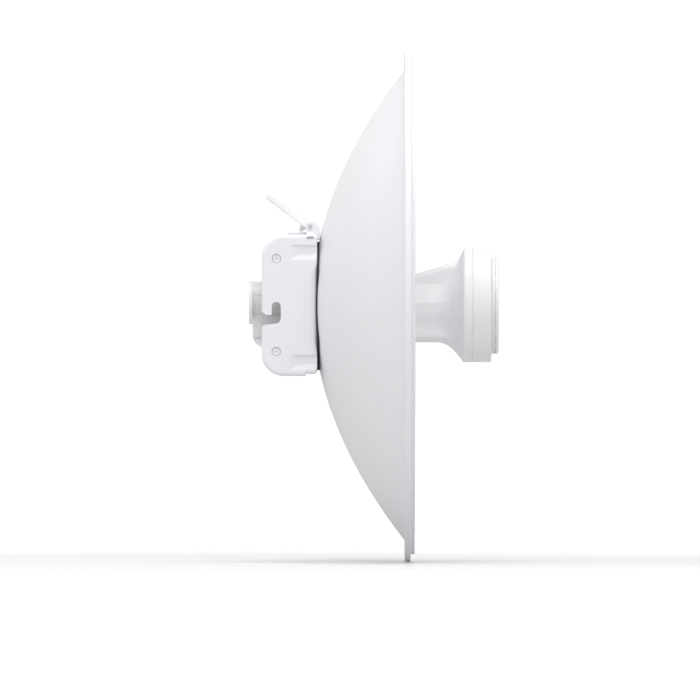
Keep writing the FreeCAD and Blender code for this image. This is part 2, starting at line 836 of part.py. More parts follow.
def key_tools(start, length, gap):
    """The feed unit's key-shaped passage: a round for its shank and a groove for its port bay."""
    shank = rod("X", (start, "0", "shank_z"), f"shank_radius + {gap}", length)
    bay = box(
        (start, f"{start} + {length}"),
        (f"- key_half_width - {gap}", f"key_half_width + {gap}"),
        (f"key_floor - {gap}", "0"),
    )
    return shank, bay


def feed_receptacle():
    """The guide core inside the bracket: a sleeve for the feed unit, two cross bars that
    take the side screws, and a guide for the lock bolt."""
    length = "core_front - core_back"
    sleeve = rod("X", ("core_back", "0", "shank_z"), "shank_radius + 3.5", length)
    bay = box(("core_back", "core_front"), ("-14.5", "14.5"), ("key_floor - 3.5", "0"))
    web = rounded_prism(("core_web", "core_front"), "31.5", "42", "8")
    high_rib = box(("8", "20"), ("-6", "6"), ("20", "36"))
    guide = box(("18", "core_front"), ("-6", "6"), ("18", "34"))
    low_rib = box(("8", "core_front"), ("-6", "6"), ("-36", "-29"))
    bars = []
    for z in SIDE_SCREW_LEVELS:
        start = ("side_screw_x", "- bar_half_length", z)
        bars.append(rod("Y", start, "bar_radius", "bar_half_length + bar_half_length"))
    solid = fuse(sleeve, bay, web, high_rib, guide, low_rib, *bars)
    pockets = []
    for z in SIDE_SCREW_LEVELS:
        for y in ("- bar_half_length - 1", "bar_half_length - 8"):
            pockets.append(rod("Y", ("side_screw_x", y, z), "insert_radius + 0.02", "9"))
    bolt_way = rod("Z", ("bolt_x", "0", "10"), "bolt_radius + 0.06", "40")
    holes = [hub_rod("20", "hub_hole", "30", index) for index in range(HUB_SCREWS)]
    nuts = [hub_rod("core_web - 12", "4.2", "12", index) for index in range(HUB_SCREWS)]
    spring_way = rod("Z", ("bolt_x", "0", "34"), "spring_room", "12")
    passages = (*key_tools("10", "30", "guide_gap"), bolt_way, spring_way)
    keep(cut(solid, *passages, *pockets, *holes, *nuts), "feed_receptacle")


# --- latch -----------------------------------------------------------------------------


def latch_lever():
    """A ribbed lever with a rolled grip, modelled along -X from its pin and then raised."""
    body = new_body("latch_lever")
    profile = new_sketch(body, "XZ_Plane")
    outline(profile, [
        ("0", "- lever_half_depth"),
        ("2.2", "2.2", "0", "0", 1),
        ("-1.4", "lever_root_top"),
        ("- lever_length", "lever_tip_radius"),
        ("- lever_length", "- lever_tip_radius", "- lever_length", "0", 1),
    ])
    extrude(body, "Pad", profile, "lever_half_width + lever_half_width", both=True)
    hollow = new_sketch(body, "XZ_Plane")
    rectangle(hollow, "- lever_length + 4.2", "- lever_half_depth - 1", "-6", "lever_skin")
    extrude(body, "Pocket", hollow, "lever_half_width + lever_half_width - 5", both=True)
    for station in ("-14", "-22", "-30"):
        rib = new_sketch(body, "XZ_Plane")
        low, high = f"{station} - 0.6", f"{station} + 0.6"
        rectangle(rib, low, "- lever_tip_radius + 0.4", high, "lever_skin + 0.5")
        extrude(body, "Pad", rib, "lever_half_width + lever_half_width - 4", both=True)
    spine = new_sketch(body, "XZ_Plane")
    rectangle(spine, "- lever_length + 3", "- lever_tip_radius + 0.4", "-4", "lever_skin + 0.5")
    extrude(body, "Pad", spine, "1.4", both=True)
    nose = new_sketch(body, "XZ_Plane")
    outline(nose, [
        ("-8", "-2"),
        ("-6", "-6.3"),
        ("-3", "-6.3", "-4.5", "-6.3", 1),
        ("-1", "-2"),
    ])
    extrude(body, "Pad", nose, "8", both=True)
    bore = new_sketch(body, "XZ_Plane")
    disc(bore, "0", "0", "pin_radius + 0.06")
    extrude(body, "Pocket", bore, "lever_half_width + lever_half_width + 2", both=True)
    dress(body, "Fillet", "lever_edge", is_lever_edge)
    body.setExpression("Placement.Base.x", "Dims.pin_x")
    body.setExpression("Placement.Base.z", "Dims.pin_z")
    body.Placement.Rotation = FreeCAD.Rotation(V(0, 1, 0), sheet.lever_angle)
    body.setExpression("Placement.Rotation.Angle", "Dims.lever_angle")


def is_lever_edge(edge):
    """The long outer edges of the lever and the rims of its rolled grip, but not its bore."""
    limits = edge.BoundBox
    outer = abs(abs(limits.YMin) - sheet.lever_half_width) < 0.01 and limits.YLength < 0.01
    bore = limits.XLength < 3.3 and limits.ZLength < 3.3 and limits.XMin > -3
    return outer and not bore


def latch_pin():
    """The lever's pin, with a flat head at one end of the ears."""
    start = "- ear_outer - 0.6"
    shaft = rod("Y", ("pin_x", start, "pin_z"), "pin_radius - 0.01", "ear_outer + ear_outer + 1.2")
    head = rod("Y", ("pin_x", f"{start} - 0.6", "pin_z"), "1.9", "1")
    keep(fuse(shaft, head), "latch_pin")


def lock_bolt():
    """The round bolt that the lever's nose pushes down into the feed unit's notch."""
    body = new_body("lock_bolt")
    sketch = new_sketch(body, "XY_Plane", "bolt_tip")
    disc(sketch, "bolt_x", "0", "bolt_radius")
    extrude(body, "Pad", sketch, "bolt_top - bolt_tip")
    collar = new_sketch(body, "XY_Plane", "collar_floor")
    disc(collar, "bolt_x", "0", "5.2")
    extrude(body, "Pad", collar, "collar_top - collar_floor")
    dress(body, "Chamfer", "0.9", lambda e: lies(e, ZMin="bolt_tip", ZMax="bolt_tip"))
    dress(body, "Fillet", "1", lambda e: lies(e, ZMin="bolt_top", ZMax="bolt_top"))


def bolt_spring():
    """The return spring between the guide and the bolt's collar."""
    floor, top = sheet.spring_floor, sheet.collar_floor - 0.3
    wire, coil = sheet.spring_wire_radius, sheet.bolt_radius + 0.85
    turns = 5
    height = top - floor - 2 * wire
    helix = Part.makeHelix(height / turns, height, coil)
    ring = Part.Wire(Part.makeCircle(wire, V(coil, 0, 0), V(0, 1, 0)))
    solid = Part.Wire(helix.Edges).makePipeShell([ring], True, True)
    item = doc.addObject("Part::Feature", "bolt_spring")
    item.Shape = solid
    item.Placement = FreeCAD.Placement(V(sheet.bolt_x, 0, floor + wire), FreeCAD.Rotation())
    keep(item, "bolt_spring")


# --- feed unit -------------------------------------------------------------------------


def feed_shell():
    """The feed unit's moulded shell: tail, shank, neck and the flare behind its head."""
    body = new_body("feed_shell")
    shank_and_tail(body)
    flare(body)
    neck(body)
    spine(body)
    hollow_feed(body)
    head_posts(body)
    port_frame(body)
    seam(body)
    notch = new_sketch(body, "XY_Plane", "shank_z + shank_radius + 1")
    disc(notch, "bolt_x", "0", "bolt_radius + 0.4")
    extrude(body, "Pocket", notch, "notch_depth")


def shank_and_tail(body):
    """The round shank and tail, with the port bay below them and a parting rib."""
    shank = new_sketch(body, "YZ_Plane", "tail_step")
    disc(shank, "0", "shank_z", "shank_radius")
    extrude(body, "Pad", shank, "neck_back - tail_step + 2")
    tail = new_sketch(body, "YZ_Plane", "tail_back")
    disc(tail, "0", "tail_z", "tail_radius")
    extrude(body, "Pad", tail, "tail_step - tail_back + 1")
    bay = new_sketch(body, "YZ_Plane", "tail_back")
    rectangle(bay, "- key_half_width", "key_floor", "key_half_width", "0")
    extrude(body, "Pad", bay, "neck_back - tail_back + 2")
    rib = new_sketch(body, "YZ_Plane", "tail_back")
    rectangle(rib, "- rib_half_width", "rib_floor", "rib_half_width", "rib_top")
    extrude(body, "Pad", rib, "tail_step - tail_back")


def neck(body):
    """The neck: a panelled section with softened ridges."""
    half = [
        ("14", "neck_floor"),
        ("22", "neck_floor + 4"),
        ("neck_half_width - 3.4", "-17.2"),
        ("neck_half_width", "-7.4"),
        ("neck_half_width", "2.4"),
        ("neck_half_width - 0.6", "3.4"),
        ("spine_half_width + 0.8", "spine_top - spine_chamfer"),
        ("spine_half_width - spine_chamfer", "spine_top"),
    ]
    section = new_sketch(body, "YZ_Plane", "neck_back")
    outline(section, half + [(minus(y), z) for y, z in reversed(half)])
    extrude(body, "Pad", section, "neck_front - neck_back")
    dress(body, "Fillet", "neck_edge", is_neck_ridge)


def is_neck_ridge(edge):
    """The long edges of the neck, but for the spine's own."""
    limits = edge.BoundBox
    long = abs(limits.XMin - sheet.neck_back) < 0.1 and limits.XLength > 60
    return long and limits.ZMax < sheet.spine_top - sheet.spine_chamfer - 1 and limits.YLength < 0.1


def spine(body):
    """The spine on the neck's top, which climbs towards the head."""
    side = new_sketch(body, "XZ_Plane")
    outline(side, [
        ("neck_back + 55", "10"),
        ("head_back - 4", "10"),
        ("head_back - 4", "36"),
        ("head_back - 5.6", "35.8"),
        ("head_back - 12.6", "34.4"),
        ("neck_back + 55", "20.2"),
    ])
    extrude(body, "Pad", side, "spine_half_width + spine_half_width", both=True)


def flare(body):
    """The funnel between the neck and the head."""
    profile = new_sketch(body, "XZ_Plane")
    outline(profile, [
        ("flare_start", "0"),
        ("head_seam", "0"),
        ("head_seam", "head_radius"),
        ("head_back + 1", "head_radius"),
        ("head_back - 0.4", "head_radius - 0.9"),
        ("154", "33.6"),
        ("flare_start", "20", "106.4", "77.9", -1),
    ])
    spin(body, "Revolution", profile)


def hollow_feed(body):
    """The space for the radio: wide in the head, narrow in the neck and the tail."""
    tail = new_sketch(body, "YZ_Plane", "tail_back - 1")
    disc(tail, "0", "tail_z", "tail_radius - tail_wall")
    extrude(body, "Pocket", tail, "tail_step - tail_back + 1", flip=True)
    bay = new_sketch(body, "YZ_Plane", "tail_back - 1")
    rectangle(bay, "- key_half_width + bay_wall", "key_floor + bay_wall", "key_half_width - bay_wall", "0")
    extrude(body, "Pocket", bay, "flare_start + 10 - tail_back", flip=True)
    channel = new_sketch(body, "YZ_Plane", "tail_step - 1")
    rectangle(channel, "- channel_half_width", "-11", "channel_half_width", "11")
    extrude(body, "Pocket", channel, "flare_start + 10 - tail_step", flip=True)
    head = new_sketch(body, "XZ_Plane")
    outline(head, [
        ("head_seam + 1", "0"),
        ("head_seam + 1", "head_radius - head_wall"),
        ("head_back + 3", "head_radius - head_wall"),
        ("flare_start + 16", "26"),
        ("flare_start + 8", "20"),
        ("flare_start + 8", "0"),
    ])
    spin(body, "Groove", head)


def ring_places(radius, angles):
    """Places on a circle, as text for formulas."""
    turns = [math.radians(angle) for angle in angles]
    return [(f"{radius * math.cos(turn):.3f}", f"{radius * math.sin(turn):.3f}") for turn in turns]


HEAD_SCREWS = ring_places(31.5, (45, 135, 225, 315))


def head_posts(body):
    """Posts with pilot holes, which take the head ring's screws."""
    for y, z in HEAD_SCREWS:
        post = new_sketch(body, "YZ_Plane", "head_back - 6")
        disc(post, y, z, "head_post_radius")
        extrude(body, "Pad", post, "shelf_back - 0.05 - head_back + 6")
        pilot = new_sketch(body, "YZ_Plane", "shelf_back")
        disc(pilot, y, z, "head_screw_radius + 0.05")
        extrude(body, "Pocket", pilot, "9")


def port_frame(body):
    """The frame round the port cover: two cheeks with the pin's holes, a header and a mouth."""
    for side in (1, -1):
        cheek = new_sketch(body, "XZ_Plane", "key_half_width" if side < 0 else "- key_half_width")
        rectangle(cheek, "tail_back - 2.2", "key_floor", "tail_back + 2", "bay_top")
        extrude(body, "Pad", cheek, "key_half_width - cover_half_width - 0.3", flip=side < 0)
    header = new_sketch(body, "XZ_Plane")
    rectangle(header, "tail_back - 2.1", "door_top + 0.3", "tail_back + 1", "bay_top - 0.05")
    extrude(body, "Pad", header, "key_half_width + key_half_width", both=True)
    pin_way = new_sketch(body, "XZ_Plane")
    disc(pin_way, "cover_pin_x", "cover_pin_z", "cover_pin_radius")
    extrude(body, "Pocket", pin_way, "cover_pin_length + 0.1", both=True)
    mouth = new_sketch(body, "XZ_Plane")
    rectangle(mouth, "tail_back - 3", "key_floor - 1", "tail_back + 0.5", "key_floor + 2.4")
    extrude(body, "Pocket", mouth, "cover_half_width + cover_half_width + 0.4", both=True)


def seam(body):
    """The fine parting line along both sides of the tail."""
    line = new_sketch(body, "XZ_Plane", "tail_radius + 1")
    rectangle(line, "tail_back - 1", "seam_z - seam_half", "tail_step - 1", "seam_z + seam_half")
    groove = extrude(body, "Pocket", line, "tail_radius + 1 - seam_reach")
    mirror(body, [groove], "XZ_Plane")


def head_ring():
    """The wide band of the head: its inner shelf is screwed to the shell, under the cap."""
    body = new_body("head_ring")
    section = new_sketch(body, "XZ_Plane")
    outline(section, [
        ("head_seam + 0.05", "head_radius - 2.4"),
        ("shelf_back", "head_radius - 2.4"),
        ("shelf_back", "shelf_radius"),
        ("shelf_front", "shelf_radius"),
        ("shelf_front", "cap_radius - 3"),
        ("head_front", "cap_radius - 3"),
        ("head_front", "head_radius - 1.2"),
        ("head_front - 1.2", "head_radius", "head_front - 1.2", "head_radius - 1.2", 1),
        ("head_seam + 0.5", "head_radius"),
        ("head_seam + 0.05", "head_radius - 0.45"),
    ])
    spin(body, "Revolution", section)
    for y, z in HEAD_SCREWS:
        hole = new_sketch(body, "YZ_Plane", "shelf_back - 1")
        disc(hole, y, z, "head_screw_radius + 0.1")
        extrude(body, "Pocket", hole, "shelf_front + 2 - shelf_back", flip=True)


def front_cap():
    """The shallow radome that closes the head, with a groove round its edge."""
    body = new_body("front_cap")
    section = new_sketch(body, "XZ_Plane")
    outline(section, [
        ("cap_front - 2", "0"),
        ("cap_front - 2", "cap_radius - 4.6"),
        ("shelf_front + 0.15", "cap_radius - 4.6"),
        ("shelf_front + 0.15", "cap_radius - 3.1"),
        ("head_front + 0.1", "cap_radius - 3.1"),
        ("head_front + 0.1", "cap_radius - 0.5"),
        ("head_front + 0.6", "cap_radius"),
        ("seal_back", "cap_radius"),
        ("seal_back", "cap_radius - 0.8"),
        ("seal_back + seal_width", "cap_radius - 0.8"),
        ("seal_back + seal_width", "cap_radius"),
        ("cap_front - 1.4", "cap_radius"),
        ("cap_front", "cap_radius - 1.4", "cap_front - 1.4", "cap_radius - 1.4", -1),
        ("cap_front", "0"),
    ])
    spin(body, "Revolution", section)


def cap_seal():
    """A rubber ring in the cap's groove."""
    ring = rod("X", ("seal_back + 0.05", "0", "0"), "cap_radius - 0.25", "seal_width - 0.1")
    middle = rod("X", ("seal_back - 1", "0", "0"), "cap_radius - 0.78", "seal_width + 2")
    keep(cut(ring, middle), "cap_seal")


# --- fasteners -------------------------------------------------------------------------


def screw(head, sizes, axis="X", back=False):
    """A socket screw. Its head's outer face is at a point and its shank runs towards -axis,
    or towards +axis with back. The sizes are the head's radius and height, the shank's
    radius, the length from the head's face, and the socket's radius."""
    head_radius, head_height, radius, length, drive = sizes
    solid = fuse(
        rod("Z", ("0", "0", minus(head_height)), head_radius, head_height),
        rod("Z", ("0", "0", minus(length)), radius, length),
    )
    item = cut(solid, hexagon("Z", ("0", "0", f"0.6 - {head_height}"), drive, "3"))
    pivot, turn = {"X": (V(0, 1, 0), 90), "Y": (V(1, 0, 0), -90)}[axis]
    return place(item, *head, rotation=FreeCAD.Rotation(pivot, turn - 180 if back else turn))


def insert(axis, start, length, bore):
    """A plain brass insert."""
    return cut(rod(axis, start, "insert_radius", length), rod(axis, start, bore, "insert_length + 1"))


def head_screws():
    """Screws that hold the ring to the shell."""
    sizes = ("2.7", "1.8", "head_screw_radius", "10", "1.4")
    group("head_screws", [screw(("shelf_front + 1.85", y, z), sizes) for y, z in HEAD_SCREWS])


def hub_screws():
    """Machine screws through the flange, dish, gasket, plate and core."""
    sizes = ("3.5", "2.4", "hub_hole - 0.25", "25.2", "1.7")
    places = [hub_screw_place(index) for index in range(HUB_SCREWS)]
    starts = [("neck_back + 2.35", str(spot.y), str(spot.z)) for spot in places]
    group("hub_screws", [screw(start, sizes) for start in starts])


def hub_nuts():
    """Hexagon nuts behind the core's web."""
    nuts = []
    for index in range(HUB_SCREWS):
        spot = hub_screw_place(index)
        start = ("core_web - 3.3", str(spot.y), str(spot.z))
        nuts.append(cut(hexagon("X", start, "3.9", "3.2"), rod("X", start, "hub_hole - 0.2", "4")))
    group("hub_nuts", nuts)


def plate_screws():
    """Machine screws that hold the front plate to the bracket's posts."""
    sizes = ("2.8", "2", "1.4", "14", "1.4")
    group("plate_screws", [screw(("plate_front - 0.7", y, z), sizes) for y, z in PLATE_SCREWS])


def plate_inserts():
    """Brass inserts in the ends of the bracket's posts."""
    start = "bracket_depth - insert_length - 0.1"
    group("plate_inserts", [insert("X", (start, y, z), "insert_length", "1.45") for y, z in PLATE_SCREWS])


def side_screws():
    """Screws in the recesses of the bracket's sides, into the core's cross bars."""
    sizes = ("side_head_radius", "1.45", "1.6", "9", "1.5")
    face = "bracket_half_width - recess_depth + 1.5"
    screws = []
    for z in SIDE_SCREW_LEVELS:
        screws.append(screw(("side_screw_x", face, z), sizes, axis="Y"))
        screws.append(screw(("side_screw_x", minus(face), z), sizes, axis="Y", back=True))
    group("side_screws", screws)


def side_inserts():
    """Brass inserts in the ends of the core's cross bars."""
    starts = ("- bar_half_length + 0.1", "bar_half_length - insert_length + 0.1")
    places = [("side_screw_x", y, z) for z in SIDE_SCREW_LEVELS for y in starts]
    group("side_inserts", [insert("Y", spot, "insert_length - 0.2", "1.65") for spot in places])


# --- the radio inside ------------------------------------------------------------------


def main_board():
    """The radio's circuit board, a narrow tongue in the tail and wider in the neck."""
    layer = ("board_floor", "board_top")
    tongue = box(("-3", "tail_step + 3"), ("-8.4", "8.4"), layer)
    half = "channel_half_width - 0.5"
    wide = box(("tail_step + 2", "head_seam - 3"), (minus(half), half), layer)
    keep(fuse(tongue, wide), "main_board")


def rf_shield():
    """A folded can over the radio's chips."""
    can = box(("88", "128"), ("-10.5", "10.5"), ("board_top + 0.05", "can_top"))
    inside = box(("88.4", "127.6"), ("-10.1", "10.1"), ("board_top", "can_top - 0.4"))
    keep(cut(can, inside), "rf_shield")


FINS = ("-9.6", "-5.2", "-0.6", "4", "8.4")


def heat_spreader():
    """A finned aluminium block on the can."""
    reach = ("90", "126")
    base = box(reach, ("-10", "10"), ("can_top + 0.1", "can_top + 2"))
    fins = [box(reach, (y, f"{y} + fin_width"), ("can_top + 1.9", "can_top + 7.4")) for y in FINS]
    keep(fuse(base, *fins), "heat_spreader")


def ethernet_jack():
    """The shielded jack under the board's tail, with its socket towards the rear."""
    shell = box(("-3.6", "17"), ("-8", "8"), ("jack_floor", "board_floor - 0.05"))
    mouth = box(("-4", "9"), ("-5.9", "5.9"), ("jack_floor + 0.8", "door_top - 0.1"))
    tab = box(("-4", "9"), ("-3", "3"), ("jack_floor + 0.8", "door_top + 1.6"))
    keep(cut(shell, mouth, tab), "ethernet_jack")


def ground_plane():
    """The metal disc behind the feed's radiating patch."""
    keep(rod("X", ("head_seam + 7", "0", "0"), "feed_disc_radius", "1.2"), "ground_plane")


def patch_antenna():
    """The square patch radiator on its posts, which faces the dish."""
    plate = box(("head_seam + 2.4", "head_seam + 3.4"), ("-17", "17"), ("-17", "17"))
    corners = [(y, z) for y in ("-9", "9") for z in ("-9", "9")]
    posts = [rod("X", ("head_seam + 3.3", y, z), "1.5", "3.65") for y, z in corners]
    keep(fuse(plate, *posts), "patch_antenna")


def feed_board():
    """The round board that joins the patch to the main board."""
    keep(rod("X", ("head_seam + 8.3", "0", "0"), "feed_disc_radius", "1.6"), "feed_board")


# --- tail of the feed unit -------------------------------------------------------------


LIGHTS = ("-6", "-2", "2", "6")


def above(level):
    """All the space of the tail above a level."""
    return box(("-20", "20"), ("-30", "30"), (level, "30"))


def tail_cap():
    """The round cap on the tail, with a button hole and windows for the status lights."""
    back = "tail_back - cap_reach"
    rim = rod("X", (back, "0", "shank_z"), "shank_radius - 0.1", "3.2")
    rounded = round_edges(rim, "cap_round", lambda e: lies(e, XMin=back, XMax=back))
    ring = ("tail_back - 2.3", "tail_back - 0.05")
    collar = common(rod("X", (ring[0], "0", "tail_z"), "tail_radius", "2.25"), above("bay_top"))
    step = box(ring, ("- key_half_width", "key_half_width"), ("bay_top + 0.05", "0"))
    rib = box(ring, ("- rib_half_width", "rib_half_width"), ("rib_floor", "rib_top"))
    plug = common(
        rod("X", ("tail_back - 0.2", "0", "tail_z"), "tail_radius - tail_wall - 0.15", "4"),
        above("board_top + 1.6"),
    )
    hollow = common(
        rod("X", ("tail_back - 3.4", "0", "tail_z"), "tail_radius - 4.2", "9"),
        above("board_top + 3"),
    )
    lines = []
    for y in (("seam_reach", "20"), ("-20", "- seam_reach")):
        lines.append(box(("tail_back - 2.25", "tail_back"), y, ("seam_z - seam_half", "seam_z + seam_half")))
    button = rod("X", (f"{back} - 0.6", "0", "button_z"), "button_radius + 0.2", "6")
    windows = [rod("X", (f"{back} - 0.6", y, "light_z"), "1.05", "6") for y in LIGHTS]
    solid = fuse(rounded, collar, step, rib, plug)
    keep(cut(solid, hollow, button, *windows, *lines), "tail_cap")


def light_guide():
    """One moulded piece with a short light pipe for each status light."""
    bar = box(("tail_back - 3.3", "tail_back - 2.2"), ("-7.4", "7.4"), ("light_z - 1.3", "light_z + 1.3"))
    pipes = [rod("X", ("tail_back - 5.45", y, "light_z"), "0.95", "2.3") for y in LIGHTS]
    keep(fuse(bar, *pipes), "light_guide")


def status_board():
    """The small board behind the cap with the lights and the reset switch."""
    board = common(
        rod("X", ("tail_back - 0.6", "0", "tail_z"), "tail_radius - 4.4", "1.2"),
        above("board_top + 3.3"),
    )
    deep = ("tail_back - 1.5", "tail_back - 0.5")
    tall = ("light_z - 0.8", "light_z + 0.8")
    lights = [box(deep, (f"{y} - 0.8", f"{y} + 0.8"), tall) for y in LIGHTS]
    low, high = "button_z - 2.2", "button_z + 2.2"
    switch = box(("tail_back - 1.2", "tail_back - 0.5"), ("-2.2", "2.2"), (low, high))
    keep(fuse(board, *lights, switch), "status_board")


def reset_button():
    """The round reset button in the cap."""
    stem = rod("X", ("tail_back - 5.1", "0", "button_z"), "button_radius", "2.9")
    flange = rod("X", ("tail_back - 3.2", "0", "button_z"), "button_radius + 0.9", "0.7")
    keep(fuse(stem, flange), "reset_button")


def port_cover():
    """The inset door over the jack, which turns about a pin at its lower edge."""
    body = new_body("port_cover")
    door = new_sketch(body, "XZ_Plane")
    outline(door, [
        ("cover_pin_x - 0.8", "cover_pin_z"),
        ("cover_pin_x + 0.8", "cover_pin_z", "cover_pin_x", "cover_pin_z", 1),
        ("cover_pin_x + 0.8", "door_top"),
        ("cover_pin_x - 0.8", "door_top"),
    ])
    extrude(body, "Pad", door, "cover_half_width + cover_half_width", both=True)
    bore = new_sketch(body, "XZ_Plane")
    disc(bore, "cover_pin_x", "cover_pin_z", "cover_pin_radius + 0.06")
    extrude(body, "Pocket", bore, "40", both=True)
    grip = new_sketch(body, "XZ_Plane")
    rectangle(grip, "cover_pin_x - 1.5", "door_top - 1.8", "cover_pin_x - 0.7", "door_top - 0.6")
    extrude(body, "Pad", grip, "9", both=True)


def cover_pin():
    """The door's pin."""
    start = ("cover_pin_x", "-10.4", "cover_pin_z")
    keep(rod("Y", start, "cover_pin_radius", "cover_pin_length"), "cover_pin")


def port_seal():
    """The rubber frame that the door closes on."""
    deep = ("tail_back - 0.4", "tail_back + 0.6")
    outer = box(deep, ("-8.4", "8.4"), ("key_floor + 2.3", "door_top + 0.2"))
    inner = box(("-10", "0"), ("-7.3", "7.3"), ("key_floor + 3.3", "door_top - 0.8"))
    keep(cut(outer, inner), "port_seal")


dish_reflector()
rear_bracket()
front_plate()
dish_gasket()
hub_flange()
feed_receptacle()
latch_lever()
latch_pin()
lock_bolt()
bolt_spring()
feed_shell()
head_ring()
front_cap()
cap_seal()
head_screws()
hub_screws()
hub_nuts()
plate_screws()
plate_inserts()
side_screws()
side_inserts()
main_board()
rf_shield()
heat_spreader()
ethernet_jack()
ground_plane()
patch_antenna()
feed_board()
tail_cap()
light_guide()
status_board()
reset_button()
port_cover()
cover_pin()
port_seal()

# --- checks and export -----------------------------------------------------------------

doc.recompute()
for item in doc.Objects:
    if any(state in ("Invalid", "Error") for state in item.State):
        raise ValueError(f"{item.Label} did not build: {item.State}")
os.makedirs("parts", exist_ok=True)
for item in PARTS:
    shape = item.Shape
    if shape.isNull() or not shape.isValid():
        raise ValueError(f"{item.Label} has no valid shape")
    shape.exportStep(f"parts/{item.Label}.step")
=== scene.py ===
"""Looks of the outdoor wireless bridge: a white dish on a moulded rear bracket, with its radio and feed unit.

Everything is in metres in the part's own frame: +X is the way the dish looks, +Y its left side, +Z up.
"""

import json
import math

import bmesh
import bpy
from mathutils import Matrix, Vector


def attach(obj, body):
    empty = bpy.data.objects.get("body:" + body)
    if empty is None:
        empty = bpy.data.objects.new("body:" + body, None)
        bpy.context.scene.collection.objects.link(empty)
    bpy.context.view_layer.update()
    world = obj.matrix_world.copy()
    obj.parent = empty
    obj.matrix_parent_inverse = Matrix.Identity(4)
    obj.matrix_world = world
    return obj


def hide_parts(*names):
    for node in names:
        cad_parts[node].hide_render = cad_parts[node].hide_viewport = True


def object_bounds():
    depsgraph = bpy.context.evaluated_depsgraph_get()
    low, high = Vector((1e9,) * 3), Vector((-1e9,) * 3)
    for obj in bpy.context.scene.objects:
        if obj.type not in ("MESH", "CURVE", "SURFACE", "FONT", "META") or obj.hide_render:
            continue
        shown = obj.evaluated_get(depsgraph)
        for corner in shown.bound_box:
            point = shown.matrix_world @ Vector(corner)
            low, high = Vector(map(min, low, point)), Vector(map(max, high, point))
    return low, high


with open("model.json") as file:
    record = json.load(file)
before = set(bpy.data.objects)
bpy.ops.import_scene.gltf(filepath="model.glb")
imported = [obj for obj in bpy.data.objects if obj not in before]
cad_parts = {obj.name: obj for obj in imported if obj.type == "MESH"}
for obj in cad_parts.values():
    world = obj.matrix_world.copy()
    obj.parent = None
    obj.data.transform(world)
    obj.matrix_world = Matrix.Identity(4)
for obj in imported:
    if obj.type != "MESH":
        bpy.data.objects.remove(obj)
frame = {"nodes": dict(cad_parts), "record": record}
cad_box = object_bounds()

NODES = frame["nodes"]
MILLIMETRE = 0.001


# ---------------------------------------------------------------- node helpers

class Finish:
    """A node material around one Principled shader, with its textures in the part's own metres."""

    def __init__(self, name, colour, roughness, metallic=0.0):
        self.material = bpy.data.materials.new(name)
        self.material.use_nodes = True
        self.tree = self.material.node_tree
        self.shader = self.tree.nodes["Principled BSDF"]
        self.set("Base Color", (*colour, 1.0))
        self.set("Roughness", roughness)
        self.set("Metallic", metallic)
        self.place = self.add("ShaderNodeTexCoord").outputs["Object"]
        self.normal = None

    def add(self, kind, **values):
        node = self.tree.nodes.new(kind)
        for name, value in values.items():
            setattr(node, name, value)
        return node

    def join(self, source, target):
        self.tree.links.new(source, target)

    def set(self, socket, value):
        self.shader.inputs[socket].default_value = value

    def stretched(self, along):
        """The place, scaled by axis, so that a pattern draws out along the axes with small factors."""
        mapping = self.add("ShaderNodeMapping")
        mapping.inputs["Scale"].default_value = along
        self.join(self.place, mapping.inputs["Vector"])
        return mapping.outputs["Vector"]

    def noise(self, size, detail=2.0, place=None):
        """Soft noise from 0 to 1 whose grains are size metres across."""
        node = self.add("ShaderNodeTexNoise")
        node.inputs["Scale"].default_value = 1.0 / size
        node.inputs["Detail"].default_value = detail
        self.join(place or self.place, node.inputs["Vector"])
        return node.outputs["Fac"]

    def cells(self, size, feature="F1"):
        """Cells size metres across: the distance from their middles, or from their edges."""
        node = self.add("ShaderNodeTexVoronoi", feature=feature)
        node.inputs["Scale"].default_value = 1.0 / size
        self.join(self.place, node.inputs["Vector"])
        return node.outputs["Distance"]

    def between(self, source, low, high, start=0.0, end=1.0):
        """The source's stretch from start to end, as numbers from low to high."""
        node = self.add("ShaderNodeMapRange")
        node.inputs["From Min"].default_value = start
        node.inputs["From Max"].default_value = end
        node.inputs["To Min"].default_value = low
        node.inputs["To Max"].default_value = high
        self.join(source, node.inputs["Value"])
        return node.outputs["Result"]

    def blend(self, source, first, second, start=0.0, end=1.0):
        """A colour from first to second as the source goes from start to end."""
        ramp = self.add("ShaderNodeValToRGB")
        ramp.color_ramp.elements[0].position = start
        ramp.color_ramp.elements[0].color = (*first, 1.0)
        ramp.color_ramp.elements[1].position = end
        ramp.color_ramp.elements[1].color = (*second, 1.0)
        self.join(source, ramp.inputs["Fac"])
        return ramp.outputs["Color"]

    def colour_by(self, source, first, second, start=0.0, end=1.0):
        self.join(self.blend(source, first, second, start, end), self.shader.inputs["Base Color"])

    def roughness_by(self, source, low, high, start=0.3, end=0.7):
        self.join(self.between(source, low, high, start, end), self.shader.inputs["Roughness"])

    def soften_edges(self, radius):
        """The small radius that a mould or a press leaves on every edge."""
        node = self.add("ShaderNodeBevel", samples=4)
        node.inputs["Radius"].default_value = radius
        self.normal = node.outputs["Normal"]
        self.join(self.normal, self.shader.inputs["Normal"])

    def relief(self, source, depth):
        """Raises the surface by depth metres where the source is 1."""
        node = self.add("ShaderNodeBump")
        node.inputs["Distance"].default_value = depth
        self.join(source, node.inputs["Height"])
        if self.normal is not None:
            self.join(self.normal, node.inputs["Normal"])
        self.normal = node.outputs["Normal"]
        self.join(self.normal, self.shader.inputs["Normal"])


def shade(colour, factor):
    """A colour made darker or paler by a factor."""
    return tuple(min(1.0, c * factor) for c in colour)


# ---------------------------------------------------------------- materials

